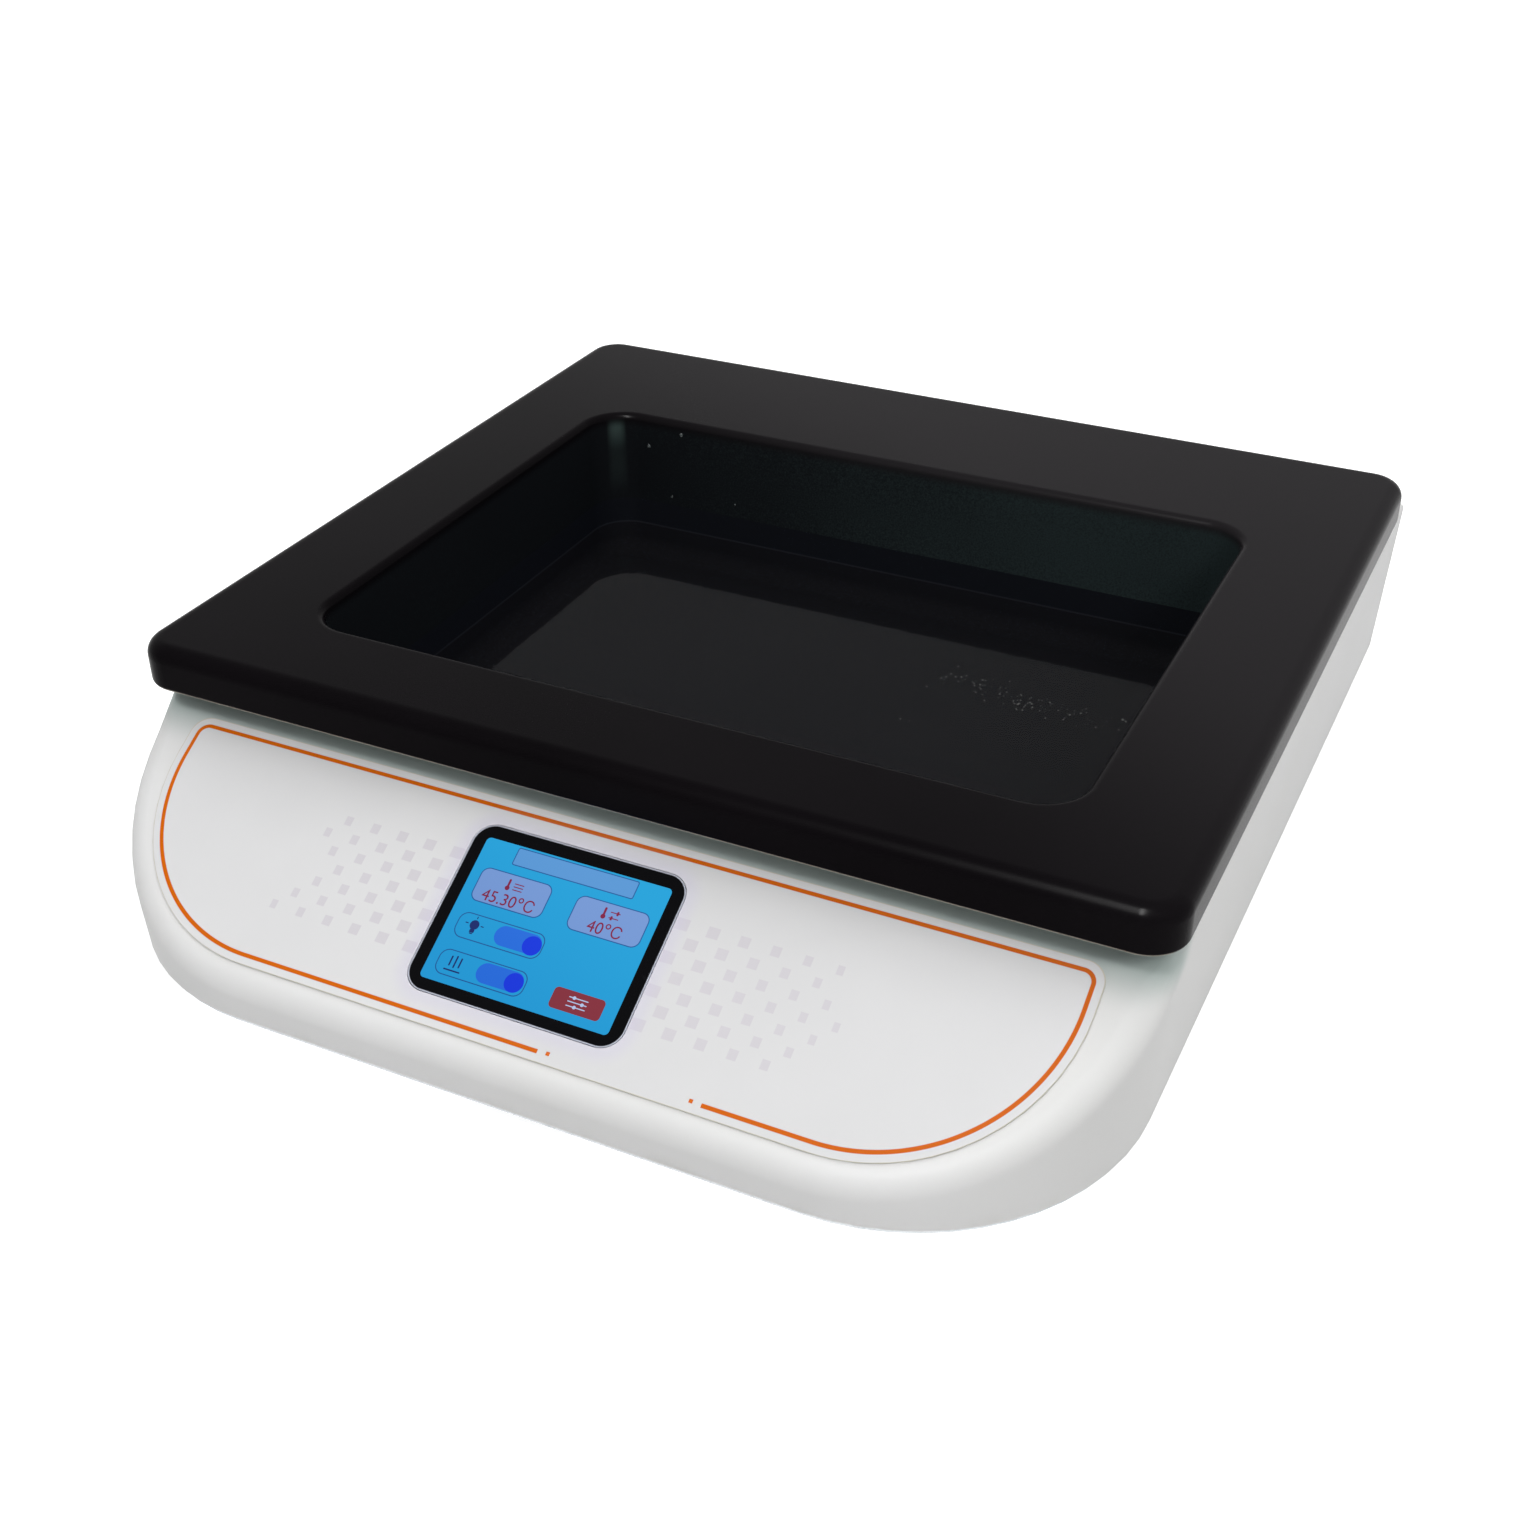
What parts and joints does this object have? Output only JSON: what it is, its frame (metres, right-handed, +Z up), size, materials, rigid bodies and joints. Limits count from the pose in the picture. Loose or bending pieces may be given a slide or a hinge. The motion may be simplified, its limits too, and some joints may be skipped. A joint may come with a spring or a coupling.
{
  "type": "laboratory water bath",
  "caption": "Shallow open water bath: black coated basin with a broad flat rim on a white housing with a sloped touch-screen console, rear mains inlet and rocker switch",
  "frame": {"origin": "middle of the footprint, on the plane that the feet stand on", "axes": "+Z up, +Y from the console towards the back wall, +X to the right of someone at the console"},
  "size_m": [0.384, 0.4354, 0.098],
  "materials": {
    "coating": "satin non-stick coating on a cast aluminium basin",
    "shell": "semi-gloss moulded housing",
    "film": "glossy printed console film with a coloured border line",
    "screen": "touch glass over a lit display",
    "display_frame": "display frame and its board",
    "gasket": "moulded rubber",
    "zinc": "zinc-plated sheet steel",
    "steel": "plain steel",
    "rubber": "soft matt rubber",
    "heater": "silicone heating mat",
    "wool": "felted insulation",
    "circuit_board": "lacquered circuit board",
    "black_plastic": "moulded thermoplastic",
    "fuse_glass": "glass tube with metal caps",
    "grey_lead": "insulated wire",
    "red_lead": "insulated wire",
    "blue_lead": "insulated wire"
  },
  "bodies": {
    "body": {"console_film": "film", "touch_glass": "screen", "display_module": "display_frame", "display_bracket": "zinc", "display_screw_front_left": "steel", "display_screw_back_left": "steel", "display_screw_front_right": "steel", "display_screw_back_right": "steel", "basin": "coating", "rim_gasket": "gasket", "housing_shell": "shell", "base_plate": "zinc", "basin_screw_front_left": "steel", "basin_screw_back_left": "steel", "basin_screw_front_right": "steel", "basin_screw_back_right": "steel", "base_screw_front_left": "steel", "base_screw_back_left": "steel", "base_screw_front_right": "steel", "base_screw_back_right": "steel", "foot_front_left": "rubber", "foot_back_left": "rubber", "foot_front_right": "rubber", "foot_back_right": "rubber", "foot_screw_front_left": "steel", "foot_screw_back_left": "steel", "foot_screw_front_right": "steel", "foot_screw_back_right": "steel", "heating_mat": "heater", "clamp_plate": "zinc", "clamp_screw_front_left": "steel", "clamp_screw_back_left": "steel", "clamp_screw_front_right": "steel", "clamp_screw_back_right": "steel", "insulation_pad": "wool", "temperature_probe": "steel", "thermal_cutout": "black_plastic", "cutout_screw_left": "steel", "cutout_screw_right": "steel", "control_board": "circuit_board", "power_supply": "zinc", "solid_state_relay": "black_plastic", "relay_screw_left": "steel", "relay_screw_right": "steel", "power_inlet": "black_plastic", "inlet_screw_left": "steel", "inlet_screw_right": "steel", "switch_frame": "black_plastic", "inlet_lead": "red_lead", "switch_lead": "red_lead", "board_lead": "blue_lead", "relay_lead": "grey_lead", "cutout_lead": "red_lead", "heater_lead": "red_lead", "probe_lead": "grey_lead", "display_ribbon": "grey_lead"},
    "rocker": {"power_rocker": "black_plastic"},
    "drawer": {"fuse_drawer": "black_plastic", "fuse": "fuse_glass"}
  },
  "joints": [
    {"name": "power_rocker_tilt", "type": "hinge", "parent": "body", "child": "rocker", "pos_m": [0.076, 0.20863, 0.04435], "axis": [-1, 0, 0], "range_deg": [0, 18]},
    {"name": "fuse_drawer_slide", "type": "slide", "parent": "body", "child": "drawer", "axis": [0, 1, 0], "range_m": [0, 0.014]}
  ]
}
